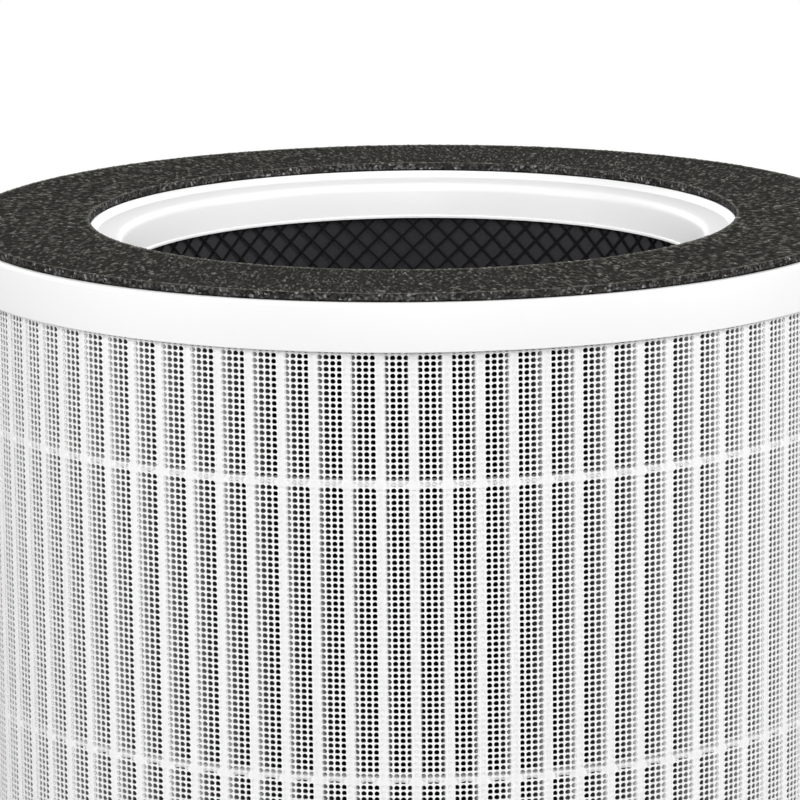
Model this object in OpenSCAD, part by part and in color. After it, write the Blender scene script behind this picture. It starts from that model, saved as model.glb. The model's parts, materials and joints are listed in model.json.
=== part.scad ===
/* [Overall] */
// Height from the underside of the lower cap to the face of the gasket
filter_h = 204; // [170:1:320]

/* [Gasket] */
// Thickness of the foam gasket
gasket_t = 2; // [1:0.5:5]
// Distance from the edge of the upper cap to the edge of the gasket
gasket_inset = 1.1; // [0.6:0.1:4]

/* [Upper cap] */
// Diameter of the air outlet inside the collar
outlet_d = 128; // [90:1:160]
// Wall thickness of the collar round the outlet
collar_t = 1.4; // [1:0.1:2]
// Length of the collar below the top of the cap
collar_h = 10; // [6:0.1:16]
// Width of the sloped shelf round the outlet
shelf_w = 5.6; // [4.8:0.1:7]
// Drop of the shelf towards the outlet
shelf_drop = 0.9; // [0.2:0.1:1.5]
// Width of the bevel between the gasket and the shelf
bevel_w = 1.4; // [0.8:0.1:2]
// Drop of the bevel between the gasket and the shelf
bevel_drop = 1.3; // [0.6:0.1:2]
// Radius of the rounded throat between the shelf and the outlet
throat_r = 2; // [0.5:0.1:2.5]
// Thickness of the top plate of the upper cap
plate_t = 1.6; // [1.2:0.1:2.4]
// Length of the skirt of the upper cap
skirt_h = 10.2; // [8:0.1:20]
// Wall thickness of both skirts
skirt_t = 1.4; // [1:0.1:2.5]
// Radius of the rounded outer edge of both caps
edge_r = 1; // [0.4:0.1:1.3]

/* [Lower cap] */
// Thickness of the base plate
base_t = 2; // [1.5:0.1:4]
// Height of the skirt of the lower cap
base_skirt_h = 11.4; // [8:0.1:20]
// Height of the locating ring inside the lower cap
ring_h = 8; // [4:0.1:14]
// Width of the flat rim that the base stands on
foot_w = 14; // [8:1:24]
// Depth of the shallow dish inside that rim
dish_depth = 0.8; // [0.3:0.1:1.1]

/* [Pleated media] */
// Number of pleats round the pack
pleats = 90; // [60:1:104]
// Depth of the pleats, from the inner folds to the outer folds
pleat_depth = 25.9; // [12:0.1:45]
// Thickness of the paper
paper_t = 0.5; // [0.3:0.1:0.8]
// Width of each rounded outer fold
outer_fold_w = 2; // [1.4:0.1:2.6]
// Width of each inner fold
inner_fold_w = 1.6; // [1.3:0.1:2]
// How far a fold bulges past its corners
fold_rise = 0.35; // [0.1:0.05:0.6]
// Turn of the first outer fold from +X, in degrees
pleat_turn = 1.8; // [0:0.1:3.4]

/* [Glue] */
// Height of each hot-melt bead line
bead_h = 1.6; // [1:0.1:4]
// Distance between bead lines
bead_pitch = 62.5; // [40:0.5:66]
// Film of glue over the crest of each fold
bead_film = 0.3; // [0.2:0.05:0.8]
// How far the face of a bead sinks between two folds
bead_sink = 1.1; // [0.3:0.1:2]
// Depth that the ends of the pleats are sunk into the sealing glue
pot_depth = 4; // [2:0.1:5]
// Thickness of the sealing glue beyond the ends of the pleats
pot_skin = 1; // [0.6:0.1:2]

/* [Outer net] */
// Thickness of the outer net
net_t = 0.6; // [0.4:0.1:1]
// Width of the strands that the net is drawn with
net_strand_w = 1.4; // [0.8:0.1:3]
// Openings round the outer net, an even number
net_columns = 24; // [12:2:24]
// Rows of openings in the outer net
net_rows = 5; // [2:1:5]

/* [Inner tube] */
// Thickness of the activated carbon sleeve
carbon_t = 4; // [2:0.1:6]
// Thickness of the strands of the inner diamond net
mesh_t = 0.8; // [0.5:0.1:1.2]
// Width of the strands of the inner diamond net
mesh_strand_w = 2; // [1:0.1:4]
// Diamonds in one row round the inner net, an even number
mesh_columns = 12; // [6:2:12]
// Rows of diamonds in the inner net, each turned half a diamond
mesh_rows = 10; // [4:1:10]

/* [Fits] */
// Clearance between the outer net and the skirts
net_clear = 0.5; // [0.3:0.1:1]
// Clearance between the collar and the inner net
mesh_clear = 0.3; // [0.2:0.05:0.8]
// Clearance between the inner net and the carbon sleeve
sleeve_clear = 0.2; // [0.1:0.05:0.5]
// Clearance between the carbon sleeve and the inner folds
fold_clear = 0.3; // [0.1:0.05:0.8]
// Distance from the inner folds out to the sealing glue
seal_clear = 0.6; // [0.2:0.1:1.5]
// Clearance between the end of the sleeve and the shelf above it
end_clear = 0.2; // [0.1:0.05:0.5]

/* [Hidden] */
$fn = 180;

// Radii from the outlet outwards
outlet_r = outlet_d / 2;
collar_out_r = outlet_r + collar_t;
mesh_in_r = collar_out_r + mesh_clear;
mesh_out_r = mesh_in_r + mesh_t;
carbon_in_r = mesh_out_r + sleeve_clear;
carbon_out_r = carbon_in_r + carbon_t;
fold_in_r = carbon_out_r + fold_clear + bead_film;
fold_out_r = fold_in_r + pleat_depth;
net_in_r = fold_out_r + bead_film;
net_out_r = net_in_r + net_t;
skirt_in_r = net_out_r + net_clear;
cap_r = skirt_in_r + skirt_t;
gasket_hole_r = outlet_r + shelf_w + bevel_w;
gasket_out_r = cap_r - gasket_inset;
step_r = max(gasket_hole_r + plate_t / 2, carbon_out_r + fold_clear);
seal_in_r = max(step_r, fold_in_r + fold_rise + paper_t) + seal_clear;
foot_in_r = cap_r - foot_w;

// Levels, with the underside of the lower cap at zero
cap_top_z = filter_h - gasket_t;
skirt_end_z = cap_top_z - skirt_h;
collar_end_z = cap_top_z - collar_h;
shelf_edge_z = cap_top_z - bevel_drop - shelf_drop;
shelf_under_z = shelf_edge_z - plate_t;
pack_low_z = base_t + pot_skin;
pack_top_z = cap_top_z - plate_t - pot_skin;
tube_top_z = shelf_under_z - end_clear;
media_mid_z = (skirt_end_z + base_skirt_h) / 2;

// Rounded throat, tangent to the shelf and to the outlet's wall
shelf_lean = atan(shelf_drop / shelf_w);
throat_run = throat_r / tan((90 + shelf_lean) / 2);
throat_steps = 6;

half_turn = 180 / pleats;
cut_over = 1;

// A point of the plan view, given by its radius and its angle plus an arc length
function arc_point(r, angle, along) =
    let (a = angle + along / r * 180 / PI)
    [r * cos(a), r * sin(a)];

// One side of the folded paper, set back from the paper's outer face by a depth
function fold_outline(back) = [
    for (i = [0 : pleats - 1])
        let (
            crest = pleat_turn + 2 * half_turn * i,
            valley = crest + half_turn,
            crest_r = fold_out_r - fold_rise - back,
            valley_r = fold_in_r + fold_rise + paper_t - back,
            crest_half = outer_fold_w / 2 - back,
            valley_half = inner_fold_w / 2 - paper_t + back
        )
        each [
            arc_point(crest_r, crest, -crest_half),
            arc_point(crest_r + fold_rise, crest, 0),
            arc_point(crest_r, crest, crest_half),
            arc_point(valley_r, valley, -valley_half),
            arc_point(valley_r - fold_rise, valley, 0),
            arc_point(valley_r, valley, valley_half)
        ]
];

// The face of a bead line, which follows the folds and sinks between them
function bead_outline(fold_r, side) = [
    for (i = [0 : pleats - 1])
        let (
            fold = pleat_turn + 2 * half_turn * i + (side > 0 ? 0 : half_turn),
            face_r = fold_r + side * bead_film,
            fold_half = (side > 0 ? outer_fold_w : inner_fold_w) / 2
        )
        each [
            arc_point(face_r, fold, -fold_half),
            arc_point(face_r, fold, fold_half),
            arc_point(face_r - side * bead_sink, fold + half_turn, 0)
        ]
];

module tube(out_r, in_r, low_z, top_z) {
    translate([0, 0, low_z])
        difference() {
            cylinder(h = top_z - low_z, r = out_r);
            translate([0, 0, -cut_over])
                cylinder(h = top_z - low_z + 2 * cut_over, r = in_r);
        }
}

module fold_section() {
    difference() {
        polygon(fold_outline(0));
        polygon(fold_outline(paper_t));
    }
}

// The round that finishes the outer edge of a cap's section
module edge_round(centre_z) {
    translate([cap_r - edge_r, centre_z])
        circle(r = edge_r);
}

module top_gasket() {
    color("dimgray")
        tube(gasket_out_r, gasket_hole_r, cap_top_z, filter_h);
}

// A point of the throat's arc, in the cap's section
function throat_point(angle) = [
    outlet_r + throat_r * (1 + cos(angle)),
    shelf_edge_z - throat_run + throat_r * sin(angle)
];

module top_cap_section() {
    polygon([
        [cap_r, cap_top_z - edge_r],
        [cap_r - edge_r, cap_top_z - edge_r],
        [cap_r - edge_r, cap_top_z],
        [gasket_hole_r, cap_top_z],
        [gasket_hole_r - bevel_w, cap_top_z - bevel_drop],
        for (step = [0 : throat_steps])
            throat_point(90 + shelf_lean + (90 - shelf_lean) * step / throat_steps),
        [outlet_r, collar_end_z + collar_t / 2],
        [collar_out_r, collar_end_z + collar_t / 2],
        [collar_out_r, shelf_under_z],
        [step_r - bevel_w, cap_top_z - plate_t - bevel_drop],
        [step_r, cap_top_z - plate_t],
        [skirt_in_r, cap_top_z - plate_t],
        [skirt_in_r, skirt_end_z],
        [cap_r, skirt_end_z]
    ]);
    translate([outlet_r + collar_t / 2, collar_end_z + collar_t / 2])
        circle(d = collar_t);
    edge_round(cap_top_z - edge_r);
}

module top_cap() {
    color("white")
        rotate_extrude()
            top_cap_section();
}

module bottom_cap_section() {
    polygon([
        [0, dish_depth],
        [foot_in_r - dish_depth, dish_depth],
        [foot_in_r, 0],
        [cap_r - edge_r, 0],
        [cap_r - edge_r, edge_r],
        [cap_r, edge_r],
        [cap_r, base_skirt_h],
        [skirt_in_r, base_skirt_h],
        [skirt_in_r, base_t],
        [collar_out_r, base_t],
        [collar_out_r, base_t + ring_h],
        [outlet_r, base_t + ring_h],
        [outlet_r, base_t],
        [0, base_t]
    ]);
    edge_round(edge_r);
}

module bottom_cap() {
    color("white")
        rotate_extrude()
            bottom_cap_section();
}

// Sealing glue: a ring with the ends of the pleats sunk into its lower face
module seal_glue() {
    difference() {
        tube(net_in_r, seal_in_r, 0, pot_depth + pot_skin);
        translate([0, 0, -cut_over])
            linear_extrude(height = pot_depth + cut_over)
                fold_section();
    }
}

module top_seal_glue() {
    color("ivory")
        translate([0, 0, pack_top_z - pot_depth])
            seal_glue();
}

module bottom_seal_glue() {
    color("ivory")
        translate([0, 0, pack_low_z + pot_depth])
            mirror([0, 0, 1])
                seal_glue();
}

module pleated_media() {
    color("whitesmoke")
        translate([0, 0, pack_low_z])
            linear_extrude(height = pack_top_z - pack_low_z)
                fold_section();
}

module outer_bead(z) {
    color("white")
        translate([0, 0, z - bead_h / 2])
            linear_extrude(height = bead_h)
                difference() {
                    polygon(bead_outline(fold_out_r, 1));
                    polygon(fold_outline(0));
                }
}

module inner_bead(z) {
    color("white")
        translate([0, 0, z - bead_h / 2])
            linear_extrude(height = bead_h)
                difference() {
                    polygon(fold_outline(paper_t));
                    polygon(bead_outline(fold_in_r, -1));
                }
}

module carbon_sleeve() {
    color("#2b2b2d")
        tube(carbon_out_r, carbon_in_r, base_t, tube_top_z);
}

// Openings of the outer net between the skirts: each block goes right through and cuts two of them
module net_windows() {
    row_pitch = (skirt_end_z - base_skirt_h) / net_rows;
    window_h = row_pitch - net_strand_w;
    window_w = 2 * PI * net_out_r / net_columns - net_strand_w;
    for (row = [0 : net_rows - 1])
        for (column = [0 : net_columns / 2 - 1])
            rotate([0, 0, 360 / net_columns * column])
                translate([0, 0, base_skirt_h + row_pitch * (row + 0.5)])
                    cube([2 * cap_r, window_w, window_h], center = true);
}

module outer_net() {
    color("white")
        difference() {
            tube(net_out_r, net_in_r, pack_low_z, pack_top_z);
            net_windows();
        }
}

// Diamond openings of the inner net, in rows that are turned by half a diamond
module mesh_windows() {
    row_pitch = (collar_end_z - base_t - ring_h) / (mesh_rows + 1);
    turn = 360 / mesh_columns;
    diamond_w = 2 * PI * mesh_out_r / mesh_columns;
    side = (min(diamond_w, 2 * row_pitch) - sqrt(2) * mesh_strand_w) / sqrt(2);
    for (row = [0 : mesh_rows - 1])
        for (column = [0 : mesh_columns / 2 - 1])
            rotate([0, 0, turn * (column + (row % 2) / 2)])
                translate([0, 0, base_t + ring_h + row_pitch * (row + 1)])
                    rotate([45, 0, 0])
                        cube([2 * cap_r, side, side], center = true);
}

module inner_net() {
    color("#1c1c1e")
        difference() {
            tube(mesh_out_r, mesh_in_r, base_t, tube_top_z);
            mesh_windows();
        }
}

top_gasket();
top_cap();
top_seal_glue();
outer_net();
pleated_media();
outer_bead(media_mid_z + bead_pitch);  // outer_bead_upper
outer_bead(media_mid_z);  // outer_bead_middle
outer_bead(media_mid_z - bead_pitch);  // outer_bead_lower
inner_bead(media_mid_z + bead_pitch);  // inner_bead_upper
inner_bead(media_mid_z);  // inner_bead_middle
inner_bead(media_mid_z - bead_pitch);  // inner_bead_lower
carbon_sleeve();
inner_net();
bottom_seal_glue();
bottom_cap();
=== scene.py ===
"""Looks of a round air purifier filter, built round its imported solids.

The caps, the foam gasket, the folded paper, the glue lines, the fine outer net and the inner
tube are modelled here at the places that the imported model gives. All lengths are in metres.
"""

import json
import logging
import math
from dataclasses import dataclass, field
from enum import Enum

import bpy
import numpy as np
from mathutils import Matrix, Vector


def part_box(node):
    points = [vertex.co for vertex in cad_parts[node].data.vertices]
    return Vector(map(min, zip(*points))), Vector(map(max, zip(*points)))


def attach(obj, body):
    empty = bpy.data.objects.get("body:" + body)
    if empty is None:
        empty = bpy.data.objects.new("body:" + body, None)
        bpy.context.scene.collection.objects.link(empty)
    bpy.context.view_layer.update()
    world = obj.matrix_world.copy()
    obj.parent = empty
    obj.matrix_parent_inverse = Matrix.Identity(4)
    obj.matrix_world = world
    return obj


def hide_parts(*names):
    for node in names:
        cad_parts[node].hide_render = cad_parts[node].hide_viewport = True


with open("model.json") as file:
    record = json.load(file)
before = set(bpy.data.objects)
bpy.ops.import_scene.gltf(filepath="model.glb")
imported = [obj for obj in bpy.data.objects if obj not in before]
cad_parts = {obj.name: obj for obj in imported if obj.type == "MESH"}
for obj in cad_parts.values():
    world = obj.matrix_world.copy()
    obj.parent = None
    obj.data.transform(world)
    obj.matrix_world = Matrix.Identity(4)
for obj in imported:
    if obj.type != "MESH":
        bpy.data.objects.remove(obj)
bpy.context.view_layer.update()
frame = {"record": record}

ROOT_BODY = "root"
MM = 0.001
TAU = 2 * math.pi
LOG = logging.getLogger("filter")

Point = tuple[float, float]


class Slot(Enum):
    """The record's material slots."""

    FOAM = "gasket_foam"
    PLASTIC = "cap_plastic"
    SEAL = "seal_glue"
    NET = "white_net"
    PAPER = "filter_paper"
    BEAD = "bead_glue"
    CARBON = "carbon_cloth"
    MESH = "black_net"


class Side(Enum):
    """Which way a fold points, seen from the axis."""

    OUTER = 1
    INNER = -1


@dataclass(frozen=True)
class Envelope:
    """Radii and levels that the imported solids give."""

    cap_radius: float
    outlet_radius: float
    gasket_radius: float
    gasket_low: float
    gasket_top: float
    skirt_end: float
    base_skirt_top: float
    net_radius: float
    net_low: float
    net_top: float
    tube_low: float
    tube_top: float
    sleeve_radius: float
    pack_radius: float
    pack_low: float
    pack_top: float

    @classmethod
    def from_frame(cls) -> "Envelope":
        """Reads the sizes from the frame's node boxes and its outlet mount.

        Returns:
            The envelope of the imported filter.
        """
        outlet = next(m for m in frame["record"]["mounts"] if m["name"] == "outlet")
        cap_low, cap_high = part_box("top_cap")
        gasket_low, gasket_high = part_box("top_gasket")
        net_low, net_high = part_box("outer_net")
        pack_low, pack_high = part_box("pleated_media")
        tube_low, tube_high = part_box("inner_net")
        sleeve_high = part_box("carbon_sleeve")[1]
        base_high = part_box("bottom_cap")[1]
        return cls(
            cap_radius=min(cap_high[0], cap_high[1]),
            outlet_radius=outlet["dims"]["r_mm"] * MM,
            gasket_radius=min(gasket_high[0], gasket_high[1]),
            gasket_low=gasket_low[2],
            gasket_top=gasket_high[2],
            skirt_end=cap_low[2],
            base_skirt_top=base_high[2],
            net_radius=max(net_high[0], net_high[1]),
            net_low=net_low[2],
            net_top=net_high[2],
            tube_low=tube_low[2],
            tube_top=tube_high[2],
            sleeve_radius=max(sleeve_high[0], sleeve_high[1]),
            pack_radius=max(pack_high[0], pack_high[1]),
            pack_low=pack_low[2],
            pack_top=pack_high[2],
        )


# Mesh tools


def add_piece(
    name: str,
    points: np.ndarray,
    faces: list[np.ndarray],
    sharp_degrees: float = 40.0,
) -> bpy.types.Object:
    """Makes a smooth-shaded object from arrays of points and faces.

    Args:
        name: The object's name.
        points: One row of x, y, z for each point.
        faces: Arrays of point numbers, one row for each face, all rows of an array alike in length.
        sharp_degrees: Edges that turn by more than this stay sharp.

    Returns:
        The new object, at the origin.
    """
    mesh = bpy.data.meshes.new(name)
    mesh.from_pydata(points.tolist(), [], [row for block in faces for row in block.tolist()])
    mesh.validate()
    mesh.shade_smooth()
    mesh.set_sharp_from_angle(angle=math.radians(sharp_degrees))
    piece = bpy.data.objects.new(name, mesh)
    bpy.context.collection.objects.link(piece)
    return piece


def loft_rings(rings: np.ndarray, closed_section: bool = True) -> tuple[np.ndarray, np.ndarray]:
    """Joins rings of points into a band that closes round the axis.

    Args:
        rings: Points by section place, place round the ring, and x, y, z.
        closed_section: Whether the last ring joins the first.

    Returns:
        The points as rows, and the faces as rows of four point numbers.
    """
    places, turns = rings.shape[:2]
    number = np.arange(places * turns).reshape(places, turns)
    if closed_section:
        number = np.vstack([number, number[:1]])
    beside = np.roll(number, -1, axis=1)
    faces = np.stack([number[:-1], beside[:-1], beside[1:], number[1:]], axis=-1)
    return rings.reshape(-1, 3), faces.reshape(-1, 4)


def polar(radius: np.ndarray, angle: np.ndarray, level: np.ndarray) -> np.ndarray:
    """Turns radii, angles and levels into rows of x, y, z.

    Args:
        radius: Distances from the axis.
        angle: Angles from +X, in radians.
        level: Heights.

    Returns:
        An array with one more axis than the inputs' common shape.
    """
    radius, angle, level = np.broadcast_arrays(radius, angle, level)
    return np.stack([radius * np.cos(angle), radius * np.sin(angle), level], axis=-1)


def rounded_profile(corners: list[tuple[float, float, float]], steps: int = 5) -> np.ndarray:
    """Rounds the corners of a closed outline.

    Args:
        corners: Radius, level and rounding radius of each corner, in order.
        steps: Segments in each rounded corner.

    Returns:
        Rows of radius and level.
    """
    spots = np.array([corner[:2] for corner in corners])
    out: list[Point] = []
    for i, (_, _, rounding) in enumerate(corners):
        here = spots[i]
        back = spots[i - 1] - here
        ahead = spots[(i + 1) % len(spots)] - here
        back /= np.linalg.norm(back)
        ahead /= np.linalg.norm(ahead)
        if rounding == 0:
            out.append(tuple(here))
            continue
        half = math.acos(float(np.clip(back @ ahead, -1, 1))) / 2
        reach = rounding / math.tan(half)
        for k in range(steps + 1):
            t = k / steps
            start, end = here + back * reach, here + ahead * reach
            out.append(tuple((1 - t) ** 2 * start + 2 * t * (1 - t) * here + t**2 * end))
    return np.array(out)


def turned_piece(name: str, profile: np.ndarray, segments: int = 512) -> bpy.types.Object:
    """Turns a closed outline about the axis.

    Args:
        name: The object's name.
        profile: Rows of radius and level, going round the outline.
        segments: Steps round the axis.

    Returns:
        The turned object.
    """
    turn = np.arange(segments) * TAU / segments
    rings = polar(profile[:, :1], turn[None, :], profile[:, 1:])
    points, faces = loft_rings(rings)
    return add_piece(name, points, [faces[:, ::-1]], sharp_degrees=32.0)


# Shader tools


class Bench:
    """A node tree with short calls for placing and joining nodes."""

    def __init__(self, tree: bpy.types.NodeTree) -> None:
        """Keeps the tree and empties it.

        Args:
            tree: The node tree of a material, a world or a group.
        """
        self.tree = tree
        tree.nodes.clear()

    def add(self, kind: str, **settings: object) -> bpy.types.Node:
        """Places a node.

        Args:
            kind: The node's type, without its ShaderNode prefix.
            **settings: Properties to set on it.

        Returns:
            The node.
        """
        node = self.tree.nodes.new("ShaderNode" + kind)
        for key, value in settings.items():
            setattr(node, key, value)
        return node

    def join(self, source: bpy.types.NodeSocket, target: bpy.types.NodeSocket) -> None:
        """Links an output to an input."""
        self.tree.links.new(source, target)

    def math(self, operation: str, first: object, second: object = None) -> bpy.types.NodeSocket:
        """Places a Math node.

        Args:
            operation: Its operation.
            first: A socket or a number.
            second: A socket or a number, where the operation takes two.

        Returns:
            Its output.
        """
        node = self.add("Math", operation=operation)
        for target, value in zip(node.inputs, (first, second)):
            if value is None:
                continue
            if isinstance(value, bpy.types.NodeSocket):
                self.join(value, target)
            else:
                target.default_value = value
        return node.outputs[0]

    def ramp(self, factor: bpy.types.NodeSocket, stops: tuple) -> bpy.types.NodeSocket:
        """Places a colour ramp.

        Args:
            factor: What it reads.
            stops: Position and colour of each stop.

        Returns:
            Its colour.
        """
        node = self.add("ValToRGB")
        elements = node.color_ramp.elements
        while len(elements) < len(stops):
            elements.new(0.5)
        for element, (position, colour) in zip(elements, stops):
            element.position = position
            element.color = (*colour, 1.0)
        self.join(factor, node.inputs["Fac"])
        return node.outputs["Color"]


def grey(level: float, warmth: float = 0.0) -> tuple[float, float, float]:
    """A grey, with a little more red and less blue where warmth is above zero."""
    return (level * (1 + warmth), level, level * (1 - warmth))


def group_sockets(group: bpy.types.NodeTree, inputs: dict[str, float], outputs: list[str]) -> None:
    """Gives a group its named inputs, which are numbers, and its named outputs.

    Args:
        group: The shader node group.
        inputs: Name and first value of each input.
        outputs: Names of the outputs.
    """
    for name, value in inputs.items():
        socket = group.interface.new_socket(name=name, in_out="INPUT", socket_type="NodeSocketFloat")
        socket.default_value = value
    for name in outputs:
        group.interface.new_socket(name=name, in_out="OUTPUT", socket_type="NodeSocketFloat")


def grain_group() -> bpy.types.NodeTree:
    """Fine grain: a mask and a height that several finishes share.

    Returns:
        The group, with inputs Scale and Cells and outputs Mask, Height and Speck, which is a
        random level for each cell.
    """
    name = "fine_grain"
    if name in bpy.data.node_groups:
        return bpy.data.node_groups[name]
    group = bpy.data.node_groups.new(name, "ShaderNodeTree")
    group_sockets(group, {"Scale": 1500.0, "Cells": 0.5}, ["Mask", "Height", "Speck"])
    bench = Bench(group)
    entry = group.nodes.new("NodeGroupInput")
    leave = group.nodes.new("NodeGroupOutput")
    place = bench.add("TexCoord").outputs["Object"]
    noise = bench.add("TexNoise")
    noise.inputs["Detail"].default_value = 3.0
    noise.inputs["Roughness"].default_value = 0.65
    cells = bench.add("TexVoronoi", feature="F1")
    for texture in (noise, cells):
        bench.join(place, texture.inputs["Vector"])
        bench.join(entry.outputs["Scale"], texture.inputs["Scale"])
    mixed = bench.add("Mix", data_type="FLOAT")
    bench.join(entry.outputs["Cells"], mixed.inputs["Factor"])
    bench.join(noise.outputs["Fac"], mixed.inputs["A"])
    bench.join(cells.outputs["Distance"], mixed.inputs["B"])
    shade = bench.add("SeparateColor")
    bench.join(cells.outputs["Color"], shade.inputs["Color"])
    bench.join(shade.outputs["Red"], leave.inputs["Speck"])
    bench.join(mixed.outputs["Result"], leave.inputs["Mask"])
    bench.join(bench.math("SUBTRACT", 1.0, mixed.outputs["Result"]), leave.inputs["Height"])
    return group


@dataclass(frozen=True)
class Finish:
    """What every finish has: its slot, its colour and how it takes the light."""

    slot: Slot
    colour: tuple[float, float, float]
    roughness: float = 0.5
    specular: float = 0.5
    grain_scale: float = 1500.0
    grain_cells: float = 0.3
    grain_contrast: float = 0.03
    grain_height: float = 0.02 * MM

    def material(self) -> bpy.types.Material:
        """Builds the material.

        Returns:
            The material, named after its slot.
        """
        material = bpy.data.materials.new(self.slot.value + "_look")
        material.use_nodes = True
        bench = Bench(material.node_tree)
        shader = bench.add("BsdfPrincipled")
        shader.inputs["Roughness"].default_value = self.roughness
        shader.inputs["Specular IOR Level"].default_value = self.specular
        grain = self.grain(bench)
        bench.join(self.base_colour(bench, grain), shader.inputs["Base Color"])
        bump = bench.add("Bump")
        bump.inputs["Strength"].default_value = 1.0
        bump.inputs["Distance"].default_value = self.grain_height
        bench.join(grain.outputs["Height"], bump.inputs["Height"])
        bench.join(bump.outputs["Normal"], shader.inputs["Normal"])
        self.dress(bench, shader)
        leave = bench.add("OutputMaterial")
        bench.join(shader.outputs["BSDF"], leave.inputs["Surface"])
        return material

    def grain(self, bench: Bench) -> bpy.types.Node:
        """Places the shared grain with this finish's own values.

        Args:
            bench: The material's nodes.

        Returns:
            The group node.
        """
        node = bench.tree.nodes.new("ShaderNodeGroup")
        node.node_tree = grain_group()
        node.inputs["Scale"].default_value = self.grain_scale
        node.inputs["Cells"].default_value = self.grain_cells
        return node

    def base_colour(self, bench: Bench, grain: bpy.types.Node) -> bpy.types.NodeSocket:
        """The colour, made a little uneven by the grain.

        Args:
            bench: The material's nodes.
            grain: The grain group's node.

        Returns:
            The colour's socket.
        """
        low = tuple(c * (1 - self.grain_contrast) for c in self.colour)
        high = tuple(min(c * (1 + self.grain_contrast), 1.0) for c in self.colour)
        return bench.ramp(grain.outputs["Mask"], [(0.25, low), (0.75, high)])

    def dress(self, bench: Bench, shader: bpy.types.Node) -> None:
        """Adds what a finish has beyond colour and grain: nothing here."""


@dataclass(frozen=True)
class FoamFinish(Finish):
    """Open foam, speckled, with painted light: paler at the tips of its grains and darker deep between them
    as painted shade, its cut edges painted dark as shade with rare bright specks as painted sparkle, and a
    painted contact shadow at their foot.
    """

    face_level: float = 0.204
    relief: float = 0.45 * MM
    thickness: float = 2.0 * MM
    # Painted shade: the face darkens with depth below its top and is palest at the grains' tips.
    pit_shade_tones: tuple = (
        (0.0, (0.0125, 0.0120, 0.0102)),
        (0.2, (0.0200, 0.0194, 0.0168)),
        (0.6, (0.081, 0.079, 0.070)),
        (1.0, (0.240, 0.234, 0.212)),
    )
    specks: tuple = ((0.0, grey(0.25)), (0.6, grey(0.5)), (0.88, grey(0.8)), (1.0, grey(1.0)))
    # Painted shade and sparkle: the cut faces are painted near black, with rare bright specks as painted
    # sparkle.
    cut_shade_and_sparkle_tones: tuple = (
        (0.0, grey(0.005, 0.05)),
        (0.45, grey(0.0155, 0.05)),
        (0.8, grey(0.031, 0.04)),
        (0.95, grey(0.070)),
        (1.0, grey(0.15)),
    )
    # Painted shadow: a dark line at the foot of the cut edges, where the foam meets the cap.
    foot_shadow_line: tuple = ((0.08, grey(0.12)), (0.24, grey(1.0)))

    def base_colour(self, bench: Bench, grain: bpy.types.Node) -> bpy.types.NodeSocket:
        """The face's tone by depth, darker deeper as painted shade, and by speck; and the cut's tone,
        painted dark as shade with rare bright specks as painted sparkle, with a painted contact shadow line
        at its foot.

        Args:
            bench: The material's nodes.
            grain: The grain group's node.

        Returns:
            The colour's socket.
        """
        place = bench.add("SeparateXYZ")
        bench.join(bench.add("TexCoord").outputs["Object"], place.inputs["Vector"])
        speck = grain.outputs["Speck"]
        depth = self.level(bench, place.outputs["Z"], self.relief)
        face = self.product(bench, bench.ramp(depth, self.pit_shade_tones), bench.ramp(speck, self.specks))
        height = self.level(bench, place.outputs["Z"], self.thickness)
        cut = self.product(bench, bench.ramp(speck, self.cut_shade_and_sparkle_tones), bench.ramp(height, self.foot_shadow_line))
        turned = bench.add("SeparateXYZ")
        bench.join(bench.add("NewGeometry").outputs["Normal"], turned.inputs["Vector"])
        # Faces turned sideways take the cut's painted shade in place of the face's tone.
        side = bench.add("MapRange")
        side.inputs["From Min"].default_value = 0.6
        side.inputs["From Max"].default_value = 0.25
        bench.join(turned.outputs["Z"], side.inputs["Value"])
        mix = bench.add("Mix", data_type="RGBA")
        bench.join(side.outputs["Result"], mix.inputs["Factor"])
        bench.join(face, mix.inputs["A"])
        bench.join(cut, mix.inputs["B"])
        brighter = bench.add("Mix", data_type="RGBA", blend_type="ADD")
        brighter.inputs["Factor"].default_value = 1.0
        bench.join(mix.outputs["Result"], brighter.inputs["A"])
        bench.join(mix.outputs["Result"], brighter.inputs["B"])
        return brighter.outputs["Result"]

    def level(self, bench: Bench, place: bpy.types.NodeSocket, below: float) -> bpy.types.NodeSocket:
        """How high a point lies, from 0 at a depth below the face to 1 on the face.

        Args:
            bench: The material's nodes.
            place: The point's height.
            below: The depth.

        Returns:
            The share's socket.
        """
        share = bench.add("MapRange")
        share.inputs["From Min"].default_value = self.face_level - below
        share.inputs["From Max"].default_value = self.face_level
        bench.join(place, share.inputs["Value"])
        return share.outputs["Result"]

    def product(
        self, bench: Bench, first: bpy.types.NodeSocket, second: bpy.types.NodeSocket
    ) -> bpy.types.NodeSocket:
        """Multiplies two colours.

        Args:
            bench: The material's nodes.
            first: A colour.
            second: The other colour.

        Returns:
            The product's socket.
        """
        mix = bench.add("Mix", data_type="RGBA", blend_type="MULTIPLY")
        mix.inputs["Factor"].default_value = 1.0
        bench.join(first, mix.inputs["A"])
        bench.join(second, mix.inputs["B"])
        return mix.outputs["Result"]


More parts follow.
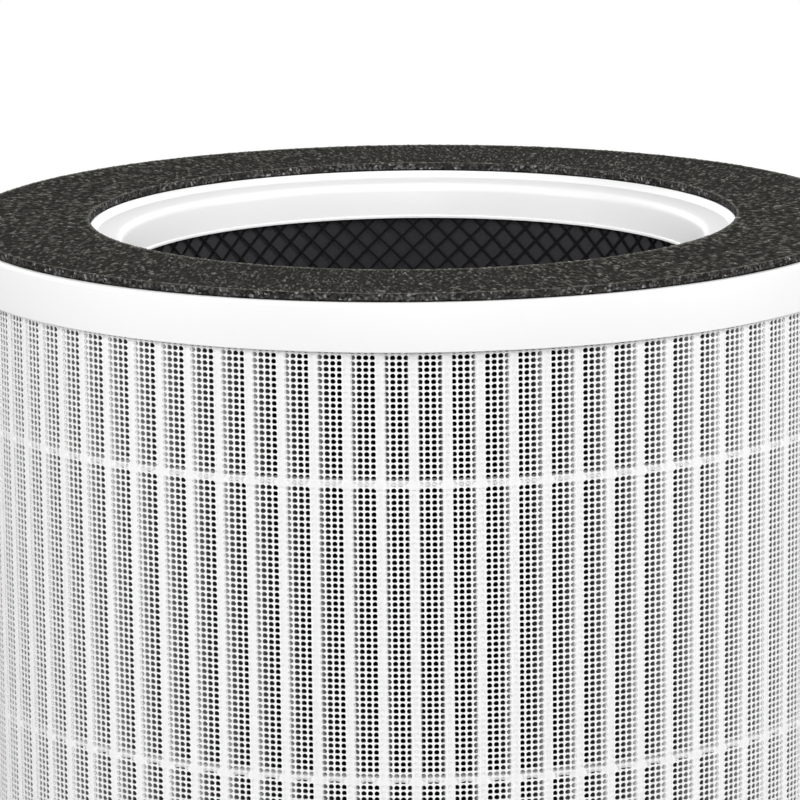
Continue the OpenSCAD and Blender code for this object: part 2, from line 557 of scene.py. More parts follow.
@dataclass(frozen=True)
class PaperFinish(Finish):
    """Filter paper painted white at its outer folds and dark deep between them, as painted shade in the
    valleys.
    """

    crest_radius: float = 0.098
    # Painted shade: the paper is darker the deeper it lies between the folds, standing in for the shade in
    # the valleys.
    painted_valley_shade_tones: tuple = (
        (0.0, grey(0.008)),
        (0.62, grey(0.018)),
        (0.80, grey(0.10)),
        (0.90, grey(0.36)),
        (0.95, grey(0.72)),
        (0.98, grey(0.95)),
    )
    reach: float = 26 * MM

    def base_colour(self, bench: Bench, grain: bpy.types.Node) -> bpy.types.NodeSocket:
        """The tone by distance from the axis, darker towards the axis as painted shade deep between the
        folds, made a little uneven by the grain.

        Args:
            bench: The material's nodes.
            grain: The grain group's node.

        Returns:
            The colour's socket.
        """
        place = bench.add("SeparateXYZ")
        bench.join(bench.add("TexCoord").outputs["Object"], place.inputs["Vector"])
        flat = bench.add("CombineXYZ")
        bench.join(place.outputs["X"], flat.inputs["X"])
        bench.join(place.outputs["Y"], flat.inputs["Y"])
        length = bench.add("VectorMath", operation="LENGTH")
        bench.join(flat.outputs["Vector"], length.inputs[0])
        depth = bench.add("MapRange")
        depth.inputs["From Min"].default_value = self.crest_radius - self.reach
        depth.inputs["From Max"].default_value = self.crest_radius
        bench.join(length.outputs["Value"], depth.inputs["Value"])
        # Painted shade: the tone falls off with depth between the folds.
        tone = bench.ramp(depth.outputs["Result"], self.painted_valley_shade_tones)
        uneven = bench.ramp(grain.outputs["Mask"], [(0.25, grey(0.94)), (0.75, grey(1.0))])
        mix = bench.add("Mix", data_type="RGBA", blend_type="MULTIPLY")
        mix.inputs["Factor"].default_value = 1.0
        bench.join(tone, mix.inputs["A"])
        bench.join(uneven, mix.inputs["B"])
        return mix.outputs["Result"]


@dataclass(frozen=True)
class ClothFinish(Finish):
    """Charcoal cloth with a soft sheen."""

    sheen: float = 0.15

    def dress(self, bench: Bench, shader: bpy.types.Node) -> None:
        """Gives the cloth its sheen."""
        shader.inputs["Sheen Weight"].default_value = self.sheen
        shader.inputs["Sheen Roughness"].default_value = 0.5


FOAM = FoamFinish(Slot.FOAM, grey(0.06), roughness=1.0, specular=0.04, grain_scale=1900.0,
                  grain_cells=0.3, grain_height=0.08 * MM)
PLASTIC = Finish(Slot.PLASTIC, grey(0.92), roughness=0.42, grain_scale=900.0, grain_contrast=0.004,
                 grain_height=0.002 * MM)
SEAL = Finish(Slot.SEAL, (0.86, 0.85, 0.80), roughness=0.45, grain_scale=300.0)
NET = Finish(Slot.NET, grey(0.93), roughness=0.55, grain_scale=2500.0, grain_contrast=0.01)
PAPER = PaperFinish(Slot.PAPER, grey(0.9), roughness=0.85, specular=0.2, grain_scale=2200.0,
                    grain_height=0.03 * MM)
BEAD = Finish(Slot.BEAD, grey(0.92), roughness=0.35, grain_scale=500.0, grain_contrast=0.01)
CARBON = ClothFinish(Slot.CARBON, (0.0215, 0.021, 0.0245), roughness=0.8, specular=0.3,
                     grain_scale=2400.0, grain_contrast=0.35, grain_height=0.08 * MM)
MESH = Finish(Slot.MESH, grey(0.004), roughness=0.6, specular=0.12, grain_scale=1200.0)


def place_piece(piece: bpy.types.Object, finish: Finish, *nodes: str) -> bpy.types.Object:
    """Dresses a piece, lets it ride, names its slot and lets it stand for solids.

    Args:
        piece: The new piece.
        finish: Its finish.
        *nodes: The solids that it replaces.

    Returns:
        The piece.
    """
    name = finish.slot.value + "_look"
    material = bpy.data.materials.get(name) or finish.material()
    piece.data.materials.append(material)
    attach(piece, ROOT_BODY)
    if nodes:
        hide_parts(*nodes)
    LOG.info("%s: %d faces", piece.name, len(piece.data.polygons))
    return piece


# Sub-assemblies


@dataclass
class Gasket:
    """Foam ring on the upper cap, with a rough face and cut edges."""

    envelope: Envelope
    hole_margin: float = 7.0 * MM
    top_round: float = 0.3 * MM
    low_round: float = 0.3 * MM
    face_step: float = 0.85 * MM
    cut_step: float = 0.35 * MM
    turns: int = 1320
    face_relief: float = 0.45 * MM
    rim_relief: float = 0.13 * MM
    rim_width: float = 0.9 * MM
    edge_relief: float = 0.3 * MM
    sparseness: float = 4.0
    seed: int = 11

    def profile(self) -> np.ndarray:
        """The ring's section, with the face cut into fine steps.

        Returns:
            Rows of radius and level.
        """
        outer, low, top = self.envelope.gasket_radius, self.envelope.gasket_low, self.envelope.gasket_top
        hole = self.envelope.outlet_radius + self.hole_margin
        outline = rounded_profile(
            [
                (hole, low, self.low_round),
                (outer, low, self.low_round),
                (outer, top, self.top_round),
                (hole, top, self.top_round),
            ],
            steps=2,
        )
        rows = [
            self.refined(before, after)
            for before, after in zip(outline, np.roll(outline, -1, axis=0))
        ]
        return np.vstack(rows)

    def refined(self, before: np.ndarray, after: np.ndarray) -> np.ndarray:
        """Cuts one edge of the section into fine steps, unless it is the hidden underside.

        Args:
            before: Radius and level of the edge's start.
            after: The same for its end.

        Returns:
            The start and the points between, as rows of radius and level.
        """
        reach = after - before
        if before[1] == after[1] == self.envelope.gasket_low:
            return before[None, :]
        step = self.face_step if abs(reach[0]) > abs(reach[1]) else self.cut_step
        count = max(1, round(float(np.linalg.norm(reach)) / step))
        return before + reach * (np.arange(count) / count)[:, None]

    def build(self) -> bpy.types.Object:
        """Builds the ring, with every point sunk a little by its own amount.

        Returns:
            The gasket.
        """
        env = self.envelope
        profile = self.profile()
        radius, level = profile[:, :1], profile[:, 1:]
        turn = np.arange(self.turns) * TAU / self.turns
        draw = np.random.default_rng(self.seed)
        shape = (len(profile), self.turns)
        inner = env.outlet_radius + self.hole_margin
        outward = np.where(radius > (env.gasket_radius + inner) / 2, 1.0, -1.0)
        rise = np.clip((level - env.gasket_low) / (env.gasket_top - env.gasket_low), 0, 1)
        to_rim = np.minimum(env.gasket_radius - radius, radius - inner)
        relief = np.where(to_rim < self.rim_width, self.rim_relief, self.face_relief) * rise**3
        sink = (1 - draw.uniform(0, 1, shape) ** self.sparseness) * relief
        near_cut = np.clip(1 - to_rim / self.rim_width, 0, 1) * (rise > 0)
        bite = draw.uniform(0, 1, shape) * self.edge_relief * near_cut
        points, faces = loft_rings(polar(radius - outward * bite, turn[None, :], level - sink))
        piece = add_piece("foam_gasket", points, [faces[:, ::-1]], sharp_degrees=180.0)
        return place_piece(piece, FOAM, "top_gasket")


@dataclass
class Caps:
    """The moulded upper and lower caps."""

    envelope: Envelope
    skirt: float = 1.4 * MM
    collar: float = 1.4 * MM
    plate: float = 1.6 * MM
    collar_length: float = 10.0 * MM
    shelf_width: float = 5.6 * MM
    shelf_drop: float = 0.9 * MM
    bevel_width: float = 1.4 * MM
    bevel_drop: float = 1.3 * MM
    edge: float = 1.0 * MM
    crisp: float = 0.18 * MM
    base: float = 2.0 * MM
    ring_height: float = 8.0 * MM
    foot_width: float = 14.0 * MM
    dish_depth: float = 0.8 * MM
    throat: float = 2.0 * MM
    lip_rise: float = 0.25 * MM
    lip_height: float = 0.5 * MM

    def build_top(self) -> bpy.types.Object:
        """Builds the upper cap: skirt, bevel, shelf and collar.

        Returns:
            The cap.
        """
        env = self.envelope
        top, radius, bore = env.gasket_low, env.cap_radius, env.outlet_radius
        hole = bore + self.shelf_width + self.bevel_width
        step = hole + self.plate / 2
        shelf_top = top - self.bevel_drop - self.shelf_drop
        collar_end = top - self.collar_length
        lip = self.collar * 0.45
        profile = rounded_profile(
            [
                (radius, env.skirt_end, self.crisp),
                (radius, top, self.edge),
                (hole, top, self.crisp),
                (hole - self.bevel_width, top - self.bevel_drop, self.crisp),
                (bore, shelf_top, self.throat),
                (bore, collar_end + self.lip_height + self.lip_rise, 0),
                (bore - self.lip_rise, collar_end + self.lip_height, self.crisp / 2),
                (bore - self.lip_rise, collar_end, self.crisp),
                (bore + self.collar, collar_end, lip),
                (bore + self.collar, shelf_top - self.plate, 0),
                (step - self.bevel_width, top - self.plate - self.bevel_drop, 0),
                (step, top - self.plate, 0),
                (radius - self.skirt, top - self.plate, 0),
                (radius - self.skirt, env.skirt_end, self.crisp),
            ]
        )
        return place_piece(turned_piece("upper_cap", profile[::-1]), PLASTIC, "top_cap")

    def build_base(self) -> bpy.types.Object:
        """Builds the lower cap: dished plate, skirt and locating ring.

        Returns:
            The cap.
        """
        env = self.envelope
        radius, bore = env.cap_radius, env.outlet_radius
        foot = radius - self.foot_width
        middle = 0.01 * MM
        profile = rounded_profile(
            [
                (middle, self.dish_depth, 0),
                (foot - self.dish_depth, self.dish_depth, self.crisp),
                (foot, 0, self.crisp),
                (radius, 0, self.edge),
                (radius, env.base_skirt_top, self.crisp),
                (radius - self.skirt, env.base_skirt_top, self.crisp),
                (radius - self.skirt, self.base, 0),
                (bore + self.collar, self.base, 0),
                (bore + self.collar, self.base + self.ring_height, self.crisp),
                (bore, self.base + self.ring_height, self.crisp),
                (bore, self.base, 0),
                (middle, self.base, 0),
            ]
        )
        return place_piece(turned_piece("lower_cap", profile[::-1]), PLASTIC, "bottom_cap")


@dataclass
class FoldRhythm:
    """Where the folds of the pack stand: evenly spaced, but for a slow drift and small slips."""

    count: int = 90
    first_crest_degrees: float = 1.87
    drift_from_degrees: float = 92.2
    drift_waves: tuple[tuple[int, float], ...] = ((2, 0.92), (4, -0.47))
    slip_degrees: float = 0.05
    seed: int = 5
    crests: np.ndarray = field(init=False)
    valleys: np.ndarray = field(init=False)

    def __post_init__(self) -> None:
        """Places the crests and valleys once, for the paper, the glue and the net alike."""
        draw = np.random.default_rng(self.seed)
        step = 360 / self.count
        crests = self.first_crest_degrees + step * np.arange(self.count)
        slips = draw.uniform(-self.slip_degrees, self.slip_degrees, (2, self.count))
        self.crests = np.radians(self.drifted(crests) + slips[0])
        self.valleys = np.radians(self.drifted(crests + step / 2) + slips[1])

    def drifted(self, degrees: np.ndarray) -> np.ndarray:
        """Moves evenly spaced angles by the slow drift.

        Args:
            degrees: Angles from +X.

        Returns:
            The angles after the drift.
        """
        place = np.radians(degrees + self.drift_from_degrees)
        return degrees + sum(size * np.sin(order * place) for order, size in self.drift_waves)

    def net_columns(self, per_fold: int) -> np.ndarray:
        """Angles of the net's upright threads, which lie on the valleys and evenly between them.

        Args:
            per_fold: Threads to a fold.

        Returns:
            Angles in radians.
        """
        valleys = np.append(self.valleys, self.valleys[0] + TAU)
        places = np.arange(self.count * per_fold) / per_fold
        return np.interp(places, np.arange(self.count + 1), valleys)


@dataclass
class PleatPack:
    """The folded paper and the glue lines that hold its folds apart."""

    envelope: Envelope
    rhythm: FoldRhythm
    paper: float = 0.5 * MM
    depth: float = 25.9 * MM
    crest_below_net: float = 0.1 * MM
    outer_fold: float = 2.1 * MM
    inner_fold: float = 1.6 * MM
    fold_rise: float = 0.3 * MM
    bead_film: float = 0.04 * MM
    bead_sink: float = 0.6 * MM
    bead_depth: float = 3.0 * MM
    inner_bead_film: float = 0.3 * MM
    inner_bead_sink: float = 1.1 * MM
    bead_up: float = 0.5 * MM
    bead_down: float = 0.62 * MM
    bead_web: float = 0.65 * MM
    bead_round: float = 0.35 * MM
    panel_steps: int = 6
    fold_steps: int = 4

    @property
    def crest_radius(self) -> float:
        """Radius of the paper's outer folds, which press on the net."""
        return self.envelope.net_radius - self.crest_below_net

    @property
    def valley_radius(self) -> float:
        """Radius of the paper's outer face at its inner folds."""
        return self.envelope.pack_radius - self.depth + self.paper

    def outline(self, back: float) -> tuple[np.ndarray, np.ndarray]:
        """One side of the paper, set back from its outer face.

        Args:
            back: How far the side lies behind the outer face.

        Returns:
            Angles and radii of the points of the side.
        """
        high_radius, low_radius = self.crest_radius - back, self.valley_radius - back
        crest_half = (self.outer_fold / 2 - back) / high_radius
        valley_half = (self.inner_fold / 2 - self.paper + back) / low_radius
        high, low = high_radius - self.fold_rise, low_radius + self.fold_rise
        bow = np.linspace(-1, 1, self.fold_steps + 1)
        run = np.linspace(0, 1, self.panel_steps + 1)[1:-1]
        afters = np.append(self.rhythm.crests[1:], self.rhythm.crests[0] + TAU)
        angles, radii = [], []
        for crest, valley, after in zip(self.rhythm.crests, self.rhythm.valleys, afters):
            leave, enter = crest + crest_half, valley - valley_half
            angles += [crest + crest_half * bow, leave + (enter - leave) * run]
            radii += [high_radius - self.fold_rise * bow**2, high + (low - high) * run]
            leave, enter = valley + valley_half, after - crest_half
            angles += [valley + valley_half * bow, leave + (enter - leave) * run]
            radii += [low_radius + self.fold_rise * bow**2, low + (high - low) * run]
        return np.concatenate(angles), np.concatenate(radii)

    def build_paper(self) -> bpy.types.Object:
        """Builds the folded paper.

        Returns:
            The paper.
        """
        env = self.envelope
        outer_angle, outer_radius = self.outline(0.0)
        inner_angle, inner_radius = self.outline(self.paper)
        rings = np.stack(
            [
                polar(outer_radius, outer_angle, np.array(env.pack_low)),
                polar(outer_radius, outer_angle, np.array(env.pack_top)),
                polar(inner_radius, inner_angle, np.array(env.pack_top)),
                polar(inner_radius, inner_angle, np.array(env.pack_low)),
            ]
        )
        points, faces = loft_rings(rings)
        return place_piece(add_piece("folded_paper", points, [faces]), PAPER, "pleated_media")

    def gap_share(self, angle: np.ndarray, folds: np.ndarray, half: float) -> np.ndarray:
        """How deep each angle lies in the gap between two folds.

        Args:
            angle: Angles to look up.
            folds: Middles of the folds on that side.
            half: Half of a fold's width, as an angle.

        Returns:
            0 on a fold and at its edges, rising to 1 midway between two folds.
        """
        edges = np.sort(np.concatenate([folds - half, folds + half]))
        edges = np.concatenate([edges[-2:] - TAU, edges, edges[:2] + TAU])
        place = np.clip(np.searchsorted(edges, angle, side="right") - 1, 0, len(edges) - 2)
        across = np.clip((angle - edges[place]) / (edges[place + 1] - edges[place]), 0, 1)
        return np.where(place % 2 == 1, 1 - (2 * across - 1) ** 2, 0.0)

    def build_bead(self, node: str, side: Side) -> bpy.types.Object:
        """Builds one glue line, with webs that arch from fold to fold along its lower edge.

        Args:
            node: The solid that it replaces.
            side: Whether it lies on the outer or the inner folds.

        Returns:
            The glue line.
        """
        low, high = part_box(node)
        middle = (low[2] + high[2]) / 2
        if side is Side.OUTER:
            angle, paper_radius = self.outline(0.0)
            gap = self.gap_share(angle, self.rhythm.crests, self.outer_fold / 2 / self.crest_radius)
            face = self.crest_radius + self.bead_film - self.bead_sink * gap
            paper_radius = np.maximum(paper_radius, face - self.bead_depth)
        else:
            angle, paper_radius = self.outline(self.paper)
            gap = self.gap_share(angle, self.rhythm.valleys, self.inner_fold / 2 / self.valley_radius)
            face = self.valley_radius - self.paper - self.inner_bead_film + self.inner_bead_sink * gap
        soft = np.minimum(self.bead_round, np.abs(face - paper_radius) * 0.8) * side.value
        down = self.bead_down + self.bead_web * (1 - gap)
        section = [
            (paper_radius, -down),
            (face - soft, -down),
            (face - soft * 0.3, -down + self.bead_round * 0.4),
            (face, -down + self.bead_round),
            (face, self.bead_up - self.bead_round),
            (face - soft * 0.3, self.bead_up - self.bead_round * 0.4),
            (face - soft, self.bead_up),
            (paper_radius, self.bead_up),
        ]
        rings = np.stack([polar(radius, angle, middle + rise) for radius, rise in section])
        points, faces = loft_rings(rings)
        faces = faces if side is Side.OUTER else faces[:, ::-1]
        return place_piece(add_piece(node + "_line", points, [faces]), BEAD, node)


@dataclass
class SealGlue:
    """The cast glue in both caps, in which the ends of the pleats stand."""

    envelope: Envelope
    meniscus: float = 0.8 * MM
    climb: float = 1.2 * MM
    ripple: float = 0.12 * MM
    turns: int = 720
    seed: int = 23

    def build(self, node: str, opening: int) -> bpy.types.Object:
        """Builds one ring, with a free face that climbs a little at its rims.

        Args:
            node: The solid that it replaces.
            opening: The side of its free face, 1 above and -1 below.

        Returns:
            The ring.
        """
        low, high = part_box(node)
        inner = self.envelope.outlet_radius + 8.75 * MM
        outer = min(high[0], high[1])
        closed, free = (low[2], high[2]) if opening > 0 else (high[2], low[2])
        sunk = free - opening * self.meniscus
        run = np.linspace(0, 1, 9)
        reach = inner + (outer - inner) * run
        edge = np.minimum(reach - inner, outer - reach)
        face = sunk + (free - sunk) * np.exp(-edge / self.climb)
        profile = np.vstack([np.column_stack([reach, face]), [(outer, closed), (inner, closed)]])
        draw = np.random.default_rng(self.seed)
        turn = np.arange(self.turns) * TAU / self.turns
        level = np.repeat(profile[:, 1:], self.turns, axis=1)
        level[2:7] += draw.uniform(-self.ripple, self.ripple, (5, self.turns))
        points, faces = loft_rings(polar(profile[:, :1], turn[None, :], level))
        faces = faces if opening < 0 else faces[:, ::-1]
        return place_piece(add_piece(node + "_ring", points, [faces]), SEAL, node)


@dataclass
class OuterNet:
    """The fine white net round the pleats: upright threads, rings and the knots that join them."""

    envelope: Envelope
    rhythm: FoldRhythm
    columns_per_fold: int = 5
    row_pitch: float = 1.2547 * MM
    ring_below_top: float = 12.95 * MM
    upright_width: float = 0.36 * MM
    ring_width: float = 0.29 * MM
    thickness: float = 0.34 * MM
    ring_sink: float = 0.03 * MM
    knot_reach: float = 0.6 * MM
    hem_below_skirt: float = 0.45 * MM
    ring_turns: int = 128
    upright_sides: int = 6

    def levels(self) -> np.ndarray:
        """Heights of the rings.

        Returns:
            Heights, evenly spaced from one that the photograph places below the gasket's face.
        """
        env = self.envelope
        start = env.gasket_top - self.ring_below_top
        up = int((env.net_top - start) / self.row_pitch)
        down = int((start - env.net_low) / self.row_pitch)
        return start + self.row_pitch * np.arange(-down, up + 1)

    def build_uprights(self) -> tuple[np.ndarray, np.ndarray]:
        """The threads that run up the filter.

        Returns:
            Points and faces.
        """
        env = self.envelope
        turn = self.rhythm.net_columns(self.columns_per_fold)
        around = np.arange(self.upright_sides) * TAU / self.upright_sides
        centre = env.net_radius - self.thickness / 2
        radius = centre + self.thickness / 2 * np.sin(around)
        shift = self.upright_width / 2 * np.cos(around) / centre
        ends = [
            polar(radius[None, :], turn[:, None] + shift[None, :], np.array(level))
            for level in (env.net_low, env.net_top)
        ]
        sides = self.upright_sides
        base = (np.arange(len(turn)) * 2 * sides)[:, None]
        here = np.arange(sides)[None, :]
        after = (here + 1) % sides
        faces = np.stack([base + here, base + after, base + sides + after, base + sides + here], axis=-1)
        return np.stack(ends, axis=1).reshape(-1, 3), faces.reshape(-1, 4)[:, ::-1]

    def build_rings(self) -> tuple[np.ndarray, np.ndarray]:
        """The threads that run round the filter, and the plain hems under the skirts.

        Returns:
            Points and faces.
        """
        turn = np.arange(self.ring_turns) * TAU / self.ring_turns
        out = self.envelope.net_radius - self.ring_sink
        deep = out - self.thickness
        half = self.ring_width / 2
        section = [(deep, -half), (out, -half), (out, half), (deep, half)]
        env = self.envelope
        hems = [
            [(deep, low), (out, low), (out, high), (deep, high)]
            for low, high in (
                (env.skirt_end - self.hem_below_skirt, env.net_top),
                (env.net_low, env.base_skirt_top + self.hem_below_skirt),
            )
        ]
        bands = hems + [[(r, level + z) for r, z in section] for level in self.levels()]
        points, faces, used = [], [], 0
        for band in bands:
            rings = np.stack([polar(np.array(r), turn, np.array(z)) for r, z in band])
            ring_points, ring_faces = loft_rings(rings)
            points.append(ring_points)
            faces.append(ring_faces + used)
            used += len(ring_points)
        return np.concatenate(points), np.concatenate(faces)

    def build_knots(self) -> bpy.types.Object:
        """Builds the small knots that round off the corners of every hole.

        Returns:
            The knots.
        """
        env = self.envelope
        turn = self.rhythm.net_columns(self.columns_per_fold)[:, None]
        level = self.levels()[None, :]
        radius = np.array(env.net_radius - self.ring_sink / 2)
        reach = self.knot_reach / env.net_radius
        corners = [(-reach, 0.0), (0.0, -self.knot_reach), (reach, 0.0), (0.0, self.knot_reach)]
        points = np.stack([polar(radius, turn + side, level + rise) for side, rise in corners], axis=2)
        points = points.reshape(-1, 3)
        faces = np.arange(len(points)).reshape(-1, 4)
        return place_piece(add_piece("outer_net_knots", points, [faces]), NET, "outer_net")

    def build_threads(self) -> bpy.types.Object:
        """Builds the net's threads.

        Returns:
            The threads.
        """
        upright_points, upright_faces = self.build_uprights()
        ring_points, ring_faces = self.build_rings()
        points = np.vstack([upright_points, ring_points])
        faces = [upright_faces, ring_faces + len(upright_points)]
        return place_piece(add_piece("outer_net_threads", points, faces, 50.0), NET, "outer_net")


@dataclass
class Core:
    """The charcoal cloth sleeve and the black diamond net inside it."""

    envelope: Envelope
    strands: int = 78
    strand_width: float = 0.44 * MM
    strand_thickness: float = 0.3 * MM
    net_inner: float = 65.7 * MM
    sleeve_inner: float = 66.7 * MM
    pillow: float = 0.3 * MM
    strand_steps: int = 48
    cloth_turns: int = 78 * 4
    cloth_rows: int = 130

    @property
    def pitch(self) -> float:
        """Distance between strands of one family, measured round the tube."""
        return TAU * self.net_inner / self.strands

    def build_cloth(self) -> bpy.types.Object:
        """Builds the sleeve, pillowed a little in each diamond of the net.

        Returns:
            The sleeve.
        """
        env = self.envelope
        turn = np.arange(self.cloth_turns) * TAU / self.cloth_turns
        level = np.linspace(env.tube_low, env.tube_top, self.cloth_rows)[:, None]
        along = turn[None, :] * self.net_inner
        first = np.abs(np.sin(math.pi * (along + level - env.tube_low) / self.pitch))
        second = np.abs(np.sin(math.pi * (along - level + env.tube_low) / self.pitch))
        bulge = self.pillow * np.sqrt(first * second)
        inside = polar(self.sleeve_inner - bulge, turn[None, :], level)
        outside = polar(
            np.array(env.sleeve_radius), turn[None, :], np.array([[env.tube_top], [env.tube_low]])
        )
        points, faces = loft_rings(np.concatenate([inside, outside]))
        piece = add_piece("carbon_cloth_sleeve", points, [faces])
        return place_piece(piece, CARBON, "carbon_sleeve")

    def strand(self, start: float, lean: int, radius: float) -> tuple[np.ndarray, np.ndarray]:
        """One slanting strand of the net.

        Args:
            start: Its angle at the foot.
            lean: 1 or -1, the way that it turns as it rises.
            radius: Its middle radius.

        Returns:
            Points and faces.
        """
        env = self.envelope
        rise = np.linspace(0, env.tube_top - env.tube_low, self.strand_steps)[:, None]
        turn = start + lean * rise / self.net_inner
        half = self.strand_width / math.sqrt(2)
        thick = self.strand_thickness / 2
        radial = np.array([-thick, thick, thick, -thick])[None, :]
        side = np.array([-half, -half, half, half])[None, :]
        points = polar(radius + radial, turn + side / self.net_inner, env.tube_low + rise)
        count = self.strand_steps
        number = np.arange(count * 4).reshape(count, 4)
        beside = np.roll(number, -1, axis=1)
        faces = np.stack([number[:-1], beside[:-1], beside[1:], number[1:]], axis=-1).reshape(-1, 4)
        ends = np.array([[3, 2, 1, 0], number[-1]])
        return points.reshape(-1, 3), np.vstack([faces, ends])

    def build_net(self) -> bpy.types.Object:
        """Builds the diamond net from two families of strands.

        Returns:
            The net.
        """
        points, faces, used = [], [], 0
        for lean, offset in ((1, 0.3 * MM), (-1, 0.55 * MM)):
            for k in range(self.strands):
                new_points, new_faces = self.strand(
                    TAU * k / self.strands, lean, self.net_inner + offset
                )
                points.append(new_points)
                faces.append(new_faces + used)
                used += len(new_points)
        piece = add_piece("diamond_inner_net", np.vstack(points), faces, 50.0)
        return place_piece(piece, MESH, "inner_net")


# Studio


@dataclass(frozen=True)
class SoftLamp:
    """A large round lamp that faces the filter."""

    name: str
    azimuth_degrees: float
    power: float
    elevation_degrees: float = 20.0
    distance: float = 1.6
    size: float = 0.8

    def hang(self, target: Vector) -> None:
        """Places the lamp.

        Args:
            target: The point that it faces.
        """
        lamp = bpy.data.lights.new(self.name, "AREA")
        lamp.shape = "DISK"
        lamp.size = self.size
        lamp.energy = self.power
        holder = bpy.data.objects.new(self.name, lamp)
        bpy.context.collection.objects.link(holder)
        side, rise = math.radians(self.azimuth_degrees), math.radians(self.elevation_degrees)
        away = Vector((math.sin(side) * math.cos(rise), -math.cos(side) * math.cos(rise), math.sin(rise)))
        turn = away.to_track_quat("Z", "Y").to_matrix().to_4x4()
        holder.matrix_world = Matrix.Translation(target + away * self.distance) @ turn


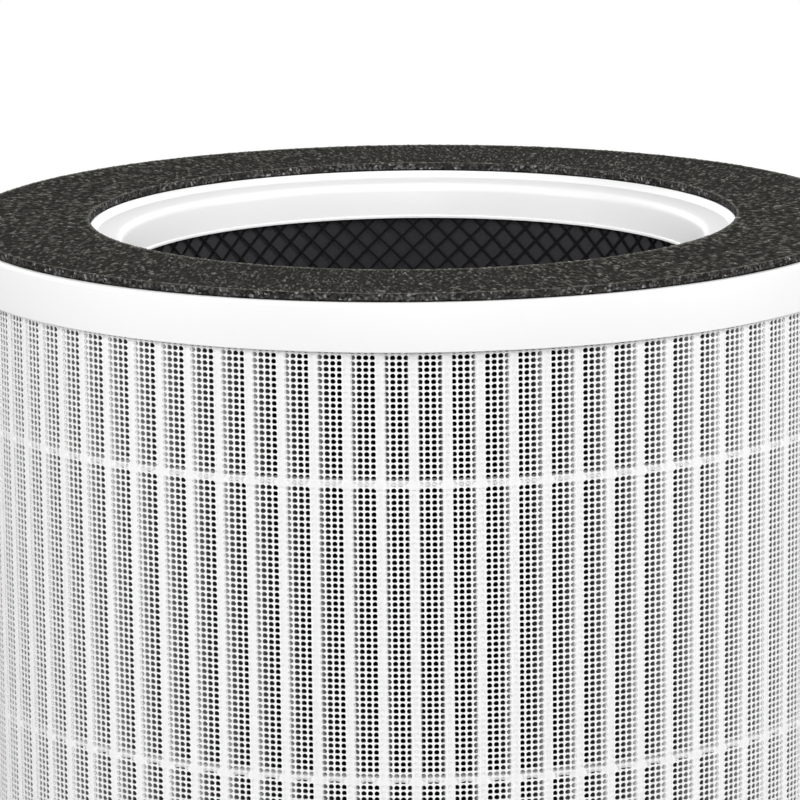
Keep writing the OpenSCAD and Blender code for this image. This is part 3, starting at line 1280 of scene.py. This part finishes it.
@dataclass
class Studio:
    """Floor, soft light and the camera of the photograph."""

    envelope: Envelope
    photo_pixels: float = 800.0
    sensor: float = 36.0
    focal_pixels: float = 5306.0
    distance: float = 1.154
    rise_above_top: float = 0.1923
    yaw_degrees: float = -0.162
    pitch_degrees: float = 11.486
    roll_degrees: float = -0.558
    world_strength: float = 0.22
    lamps: tuple[SoftLamp, ...] = (
        SoftLamp("right_lamp", azimuth_degrees=73, power=13.8),
        SoftLamp("left_lamp", azimuth_degrees=-64, power=11.7),
        SoftLamp("front_lamp", azimuth_degrees=0, power=12.2),
        SoftLamp("right_back_lamp", azimuth_degrees=150, power=6.5),
        SoftLamp("left_back_lamp", azimuth_degrees=-150, power=6.5),
        SoftLamp("top_lamp", azimuth_degrees=0, power=2.2, elevation_degrees=84, distance=1.2),
    )
    floor_radius: float = 4.0
    floor_fade: tuple[float, float] = (0.35, 1.3)
    floor_seen: float = 0.8
    floor_bounce: float = 0.2

    def build_floor(self) -> None:
        """Lays a pale round floor that fades into the white background."""
        turn = np.arange(128) * TAU / 128
        points = polar(np.array(self.floor_radius), turn, np.array(-0.0002))
        floor = add_piece("studio_floor", points, [np.arange(128)[None, :]])
        material = bpy.data.materials.new("studio_floor_look")
        material.use_nodes = True
        bench = Bench(material.node_tree)
        shader = bench.add("BsdfPrincipled")
        shader.inputs["Roughness"].default_value = 0.7
        shader.inputs["Specular IOR Level"].default_value = 0.1
        glow = bench.add("Emission")
        length = bench.add("VectorMath", operation="LENGTH")
        bench.join(bench.add("TexCoord").outputs["Object"], length.inputs[0])
        fade = bench.add("MapRange", interpolation_type="SMOOTHSTEP")
        fade.inputs["From Min"].default_value = self.floor_fade[0]
        fade.inputs["From Max"].default_value = self.floor_fade[1]
        bench.join(length.outputs["Value"], fade.inputs["Value"])
        path = bench.add("LightPath")
        seen = bench.math("MAXIMUM", path.outputs["Is Camera Ray"], path.outputs["Is Glossy Ray"])
        seen = bench.math("MAXIMUM", seen, path.outputs["Is Transmission Ray"])
        tone = bench.ramp(seen, ((0.0, grey(self.floor_bounce)), (1.0, grey(self.floor_seen))))
        bench.join(tone, shader.inputs["Base Color"])
        mix = bench.add("MixShader")
        bench.join(bench.math("MULTIPLY", seen, fade.outputs["Result"]), mix.inputs["Fac"])
        bench.join(shader.outputs["BSDF"], mix.inputs[1])
        bench.join(glow.outputs["Emission"], mix.inputs[2])
        leave = bench.add("OutputMaterial")
        bench.join(mix.outputs["Shader"], leave.inputs["Surface"])
        floor.data.materials.append(material)

    def build_world(self) -> None:
        """Surrounds the scene with soft white light, and shows it as plain white."""
        world = bpy.data.worlds.new("studio_world")
        bpy.context.scene.world = world
        world.use_nodes = True
        bench = Bench(world.node_tree)
        ambient = bench.add("Background")
        ambient.inputs["Color"].default_value = (1, 1, 1, 1)
        ambient.inputs["Strength"].default_value = self.world_strength
        plain = bench.add("Background")
        plain.inputs["Color"].default_value = (1, 1, 1, 1)
        path = bench.add("LightPath")
        seen = bench.math("MAXIMUM", path.outputs["Is Camera Ray"], path.outputs["Is Glossy Ray"])
        seen = bench.math("MAXIMUM", seen, path.outputs["Is Transmission Ray"])
        mix = bench.add("MixShader")
        bench.join(seen, mix.inputs["Fac"])
        bench.join(ambient.outputs["Background"], mix.inputs[1])
        bench.join(plain.outputs["Background"], mix.inputs[2])
        leave = bench.add("OutputWorld")
        bench.join(mix.outputs["Shader"], leave.inputs["Surface"])

    def hang_lamps(self) -> None:
        """Hangs the soft lamps round and above the filter."""
        for lamp in self.lamps:
            lamp.hang(Vector((0, 0, self.envelope.gasket_top * 0.8)))

    def build_camera(self) -> None:
        """Sets the camera where the photograph was taken from."""
        yaw, pitch, roll = (
            math.radians(a) for a in (self.yaw_degrees, self.pitch_degrees, self.roll_degrees)
        )
        ahead = Vector((math.sin(yaw) * math.cos(pitch), math.cos(yaw) * math.cos(pitch), -math.sin(pitch)))
        right = Vector((math.cos(yaw), -math.sin(yaw), 0))
        up = right.cross(ahead)
        rolled_right = math.cos(roll) * right + math.sin(roll) * up
        rolled_up = -math.sin(roll) * right + math.cos(roll) * up
        data = bpy.data.cameras.new("photo_camera")
        data.sensor_width = self.sensor
        data.lens = self.focal_pixels / self.photo_pixels * self.sensor
        data.clip_start = 0.05
        data.clip_end = 20
        camera = bpy.data.objects.new("photo_camera", data)
        bpy.context.collection.objects.link(camera)
        turn = Matrix((rolled_right, rolled_up, -ahead)).transposed().to_4x4()
        place = Vector((0, -self.distance, self.envelope.gasket_top + self.rise_above_top))
        camera.matrix_world = Matrix.Translation(place) @ turn
        bpy.context.scene.camera = camera

    def build(self) -> None:
        """Builds the whole studio and sets how colours are shown."""
        self.build_camera()
        self.build_floor()
        self.build_world()
        self.hang_lamps()
        bpy.context.scene.view_settings.view_transform = "Standard"


def main() -> None:
    """Builds the studio and every sub-assembly of the filter, in order."""
    logging.basicConfig(level=logging.INFO, format="%(name)s %(message)s")
    envelope = Envelope.from_frame()
    Studio(envelope).build()
    Gasket(envelope).build()
    caps = Caps(envelope)
    caps.build_top()
    caps.build_base()
    rhythm = FoldRhythm()
    pack = PleatPack(envelope, rhythm)
    pack.build_paper()
    for level in ("upper", "middle", "lower"):
        pack.build_bead("outer_bead_" + level, Side.OUTER)
        pack.build_bead("inner_bead_" + level, Side.INNER)
    glue = SealGlue(envelope)
    glue.build("top_seal_glue", opening=-1)
    glue.build("bottom_seal_glue", opening=1)
    net = OuterNet(envelope, rhythm)
    net.build_threads()
    net.build_knots()
    core = Core(envelope)
    core.build_cloth()
    core.build_net()


if __name__ == "__main__":
    main()
